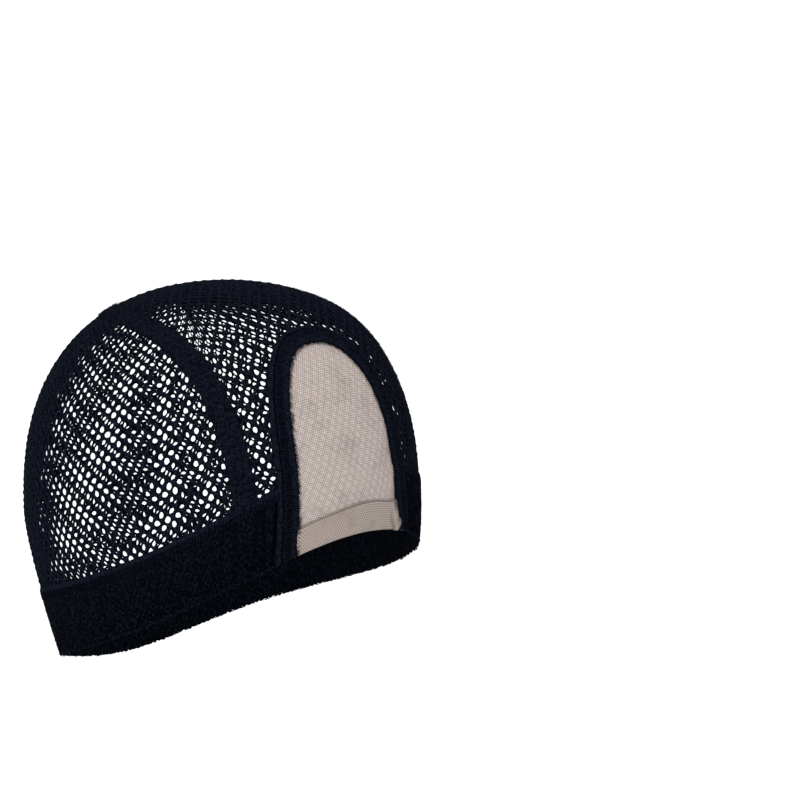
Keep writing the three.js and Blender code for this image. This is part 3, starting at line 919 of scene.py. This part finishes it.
hemThread = laceCloth("laceHemThread", laceHem["thread"], laceHem["cellColour"], lace["cell"] * 1.1, 0.97, 1, hemShade)
wide = np.linspace(-1, 1, laceHem["columns"])
tall = np.linspace(0, 1, laceHem["rows"])
halfTurn = 0.5
for _ in range(30):
    z = hemHeight(halfTurn) + 4.0
    sideX, sideA = chartOf(formPoint(np.array([halfTurn]), np.array([z])))
    halfTurn -= float(windowSide(sideX, sideA)[0] + 0.3) / 95
theta = wide * halfTurn
tuck = np.clip((wide - laceHem["tuckAt"] + 0.2) / 0.25, 0, 1)
tuck = tuck * tuck * (3 - 2 * tuck)
lowLine, highLine = hemHeight(theta), hemHeight(theta) + laceHem["height"]
highLine = highLine + 0.6 * np.sin(wide * 4.2 + 0.4) - 1.6 * np.exp(-(((wide + 1) / 0.25) ** 2)) + 1.2 * tuck
lowLine = lowLine + 0.4 * tuck * np.clip((0.985 - wide) / 0.1, 0, 1) * np.sin((wide - 0.6) * 22)
z = lowLine[:, None] + (highLine - lowLine)[:, None] * tall[None]
base = formPoint(theta[:, None] + 0 * z, z)
flat = np.stack([theta[:, None] * 80 + 0 * z, tall[None] * laceHem["height"] + 0 * z], -1)
crease = 0.22 * np.sin(wide * 7 + 1)[:, None] * np.sin(tall * math.pi)[None] + 0.12 * smoothNoise(base, 0.3, 32)
lines = np.sin(2 * math.pi * (wide[:, None] * 3.4 + tall[None] * 0.9)) + 0.6 * np.sin(
    2 * math.pi * (wide[:, None] * 7.1 - tall[None] * 1.3 + 0.2)
)
calm = np.clip((0.985 - wide) / 0.1, 0, 1)[:, None]
crease = crease * np.clip((1.0 - np.abs(wide)) / 0.05, 0, 1)[:, None] + 0.5 * calm * tuck[:, None] * lines * (0.3 + 0.7 * np.sin(tall * math.pi)[None])
outer = laceHem["depth"] + 0.45 * np.sqrt(np.clip(1 - (2 * tall - 1) ** 8, 0, 1))[None] + 0.3 * tall[None] ** 8 + crease
points, faces, uv = wallMesh(base, outer, np.minimum(outer - 0.3, laceHem["depth"] - 0.15), flat, 9)
laceHemFold = newPiece("laceHemFold", points, faces, hemThread, uv)
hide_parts("lace_hem")

# Loose fibres: frayed inner edge of the binding, fuzz on the tape and looped edge of the hem
fibre = {
    "bindingCount": 1700,
    "bindingLength": 1.25,
    "radius": 0.075,
    "fuzzCount": 2600,
    "fuzzLength": 0.7,
    "hemLoops": 300,
    "loopSize": 0.55,
    "loopRadius": 0.19,
}
# 1.3: painted light on the loose fibres
fibreYarn = yarnCloth("fibreYarn", 1.3, 1.5, 0.0001)


# Short bent hairs that start on given places and lean out of the cloth
def hairs(places, outward, tangent, normal, length, lift, radius, sides=3):
    t = np.linspace(0, 1, 4)[None, :, None]
    count = len(places)
    lean = rng.normal(size=(count, 1, 1)) * 0.6
    curl = rng.normal(size=(count, 1, 1)) * 0.5
    way = outward[:, None] + normal[:, None] * lift
    length = length[:, None, None]
    path = places[:, None] + way * length * t + tangent[:, None] * length * (lean * t + curl * t**2)
    path = path + normal[:, None] * length * 0.25 * np.sin(t * 3) * rng.uniform(-1, 1, (count, 1, 1))
    radii = radius * (1 - 0.5 * np.linspace(0, 1, 4))[None] * np.ones((count, 1))
    return tubeMesh(path, radii, sides)


edgeBase, edgeReach = stripGrid(
    windowAt, [-window["binding"] / 2 + 0.3, 0.0], lambda p: p[:, 2] - hemHeight(turnOf(p)) - 0.2, 900
)
line, centre = edgeBase[:, 0], edgeBase[:, 1]
tangent = np.gradient(line, axis=0)
tangent /= np.linalg.norm(tangent, axis=-1, keepdims=True)
normal = formNormal(line)
outward = line - centre
outward -= normal * (outward * normal).sum(-1, keepdims=True)
outward /= np.linalg.norm(outward, axis=-1, keepdims=True)
pick = rng.integers(0, len(line), fibre["bindingCount"])
start = line[pick] + normal[pick] * rng.uniform(0.9, 1.9, (len(pick), 1))
length = fibre["bindingLength"] * rng.uniform(0.3, 1.2, len(pick))
length *= 1 + 0.5 * (line[pick][:, 2] > 55)
points, faces = hairs(start, outward[pick], tangent[pick], normal[pick], length, 0.1, fibre["radius"])
bindingFray = newPiece("bindingFray", points, faces, fibreYarn)


# Fuzz that stands off the tape, the overlock and the band
def fuzzOn(name, base, depth, count, seed):
    local = np.random.default_rng(seed)
    flat = base.reshape(-1, 3)
    pick = local.integers(0, len(flat), count)
    place = flat[pick]
    normal = formNormal(place)
    around = local.normal(size=(count, 3))
    around -= normal * (around * normal).sum(-1, keepdims=True)
    around /= np.linalg.norm(around, axis=-1, keepdims=True)
    start = place + normal * depth
    length = fibre["fuzzLength"] * local.uniform(0.4, 1.5, count)
    points, faces = hairs(start, around, np.cross(normal, around), normal, length, 0.9, fibre["radius"] * 0.8)
    piece = newPiece(name, points, faces, fibreYarn)


tapeEdges, _ = stripGrid(
    seamAt, [-seam["tape"] / 2 + 0.3, -1.5, 1.5, seam["tape"] / 2 - 0.3], lambda p: p[:, 2] - bandTop(turnOf(p)) + 1.5, 700
)
fuzzOn("tapeFuzz", tapeEdges, tape["base"] + 0.6, fibre["fuzzCount"], 41)
bandLines = ringGrid(hemHeight, bandTop, np.linspace(0, 0.95, 12), 900, window["binding"] / 2 - 0.6)[0]
fuzzOn("bandFuzz", bandLines, band["thick"] - 0.3, fibre["fuzzCount"], 42)
lowLines = ringGrid(hemHeight, bandTop, [0.0, 0.01], 1500, window["binding"] / 2 - 0.6)[0]
fuzzOn("hemFuzz", lowLines, 1.0, fibre["fuzzCount"] // 2, 43)

hemLine = ringGrid(hemHeight, bandTop, [0.012], fibre["hemLoops"], window["binding"] / 2 - 0.6)[0][:, 0]
tangent = np.gradient(hemLine, axis=0)
tangent /= np.linalg.norm(tangent, axis=-1, keepdims=True)
normal = formNormal(hemLine)
down = np.cross(normal, tangent)
down *= np.sign(-down[:, 2:3])
size = fibre["loopSize"] * rng.uniform(0.5, 1.5, (len(hemLine), 1, 1))
turn = np.linspace(-0.3, math.pi + 0.3, 7)[None, :, None]
start = hemLine[:, None] + normal[:, None] * rng.uniform(0.6, 1.9, (len(hemLine), 1, 1))
start = start + tangent[:, None] * rng.normal(size=(len(hemLine), 1, 1)) * 0.6
path = start + tangent[:, None] * size * 1.2 * np.cos(turn) + down[:, None] * size * (np.sin(turn) - 0.2)
radii = fibre["loopRadius"] * np.ones((len(hemLine), 7))
points, faces = tubeMesh(path, radii, 5)
hemLoops = newPiece("hemLoops", points, faces, fibreYarn)

# Two loose thread loops, one under the band and one at the foot of the binding
loops = {"turns": (-1.16, -0.405), "drops": (0.9, 1.3), "wide": 0.95, "long": 1.35, "radius": 0.13}
paths = []
for at, drop in zip(loops["turns"], loops["drops"]):
    centre = formPoint(at, hemHeight(at) - drop)
    normal = formNormal(centre)
    along = formPoint(at + 0.01, hemHeight(at + 0.01)) - formPoint(at, hemHeight(at))
    along /= np.linalg.norm(along)
    down = np.cross(normal, along)
    down *= -np.sign(down[2])
    turn = np.linspace(0.25, 2 * math.pi - 0.25, 18)[:, None] + math.pi / 2
    ring = along * np.cos(turn) * loops["wide"] - down * np.sin(turn) * loops["long"]
    paths.append(centre + normal * (1.0 + 0.3 * np.sin(turn)) + ring + along * 0.5 * np.sin(turn))
points, faces = tubeMesh(np.array(paths), loops["radius"] * np.ones((2, 18)), 6)
threadLoops = newPiece("threadLoops", points, faces, fibreYarn)
print("fibres done")

# Stage
stage = {"floorDrop": 0.42, "floor": (0.92, 0.92, 0.93), "world": 0.92, "sun": 2.1}
floorMesh = bpy.data.meshes.new("floor")
half = 40.0
floorZ = cadBox[0][2] - stage["floorDrop"]
corners = [(-half, -half, floorZ), (half, -half, floorZ), (half, half, floorZ), (-half, half, floorZ)]
floorMesh.from_pydata(corners, [], [(0, 1, 2, 3)])
floor = bpy.data.objects.new("floor", floorMesh)
bpy.context.scene.collection.objects.link(floor)
floorLook = Cloth("floorLook", roughness=0.8)
floorLook.colour((*stage["floor"], 1))
floorMesh.materials.append(floorLook.material)

world = bpy.data.worlds.new("studio")
bpy.context.scene.world = world
world.use_nodes = True
world.node_tree.nodes["Background"].inputs[0].default_value = (1, 1, 1, 1)
world.node_tree.nodes["Background"].inputs[1].default_value = stage["world"]


sun = bpy.data.lights.new("softSun", "SUN")
sun.energy = stage["sun"]
sun.angle = math.radians(50)
lamp = bpy.data.objects.new("softSun", sun)
lamp.rotation_euler = (math.radians(47), 0, math.radians(-62))
bpy.context.scene.collection.objects.link(lamp)

# Camera at the photograph's angle to its nearer view, aimed past the cap as the photograph is
view = {
    "azimuth": -36.585,
    "elevation": 16.12,
    "distance": 0.9964,
    "aim": (0.0647, -0.0423, 0.0449),
    "roll": 0.54,
    "lens": 104.9,
}
a, e = math.radians(view["azimuth"]), math.radians(view["elevation"])
away = np.array([math.sin(a) * math.cos(e), -math.cos(a) * math.cos(e), math.sin(e)])
middle = -seat / 1000
place = middle + away * view["distance"]
back = place - middle - np.array(view["aim"])
back /= np.linalg.norm(back)
right = np.cross([0, 0, 1.0], back)
right /= np.linalg.norm(right)
up = np.cross(back, right)
roll = math.radians(view["roll"])
across = right * math.cos(roll) - up * math.sin(roll)
upward = right * math.sin(roll) + up * math.cos(roll)
camera = bpy.data.cameras.new("photoCamera")
camera.sensor_width = 36.0
camera.lens = view["lens"]
camera.clip_start = 0.05
eye = bpy.data.objects.new("photoCamera", camera)
bpy.context.scene.collection.objects.link(eye)
eye.matrix_world = Matrix([[across[i], upward[i], back[i], place[i]] for i in range(3)] + [[0, 0, 0, 1]])
bpy.context.scene.camera = eye
bpy.context.scene.view_settings.view_transform = "Standard"
